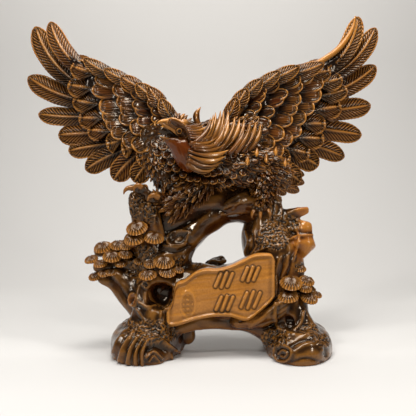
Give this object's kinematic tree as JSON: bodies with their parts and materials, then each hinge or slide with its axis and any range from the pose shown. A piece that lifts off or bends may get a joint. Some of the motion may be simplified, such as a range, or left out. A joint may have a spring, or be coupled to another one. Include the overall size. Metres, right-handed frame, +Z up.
{
  "type": "eagle figurine",
  "caption": "Cast resin figurine of an eagle with raised wings, landing on an arched pine trunk between two boulders, with a wavy blank board in front.",
  "frame": {"origin": "bottom centre of the bounding box, on the surface that the boulders stand on", "axes": "+X along the wing spread, towards the wing on the right as seen from the front; -Y towards the front, where the head and the board face; +Z up"},
  "size_m": [0.6712, 0.2601, 0.5999],
  "materials": {
    "brown_resin": "brown casting resin with golden rubbed edges under clear lacquer"
  },
  "bodies": {
    "root": {"eagle_on_pine": "brown_resin"}
  },
  "joints": []
}
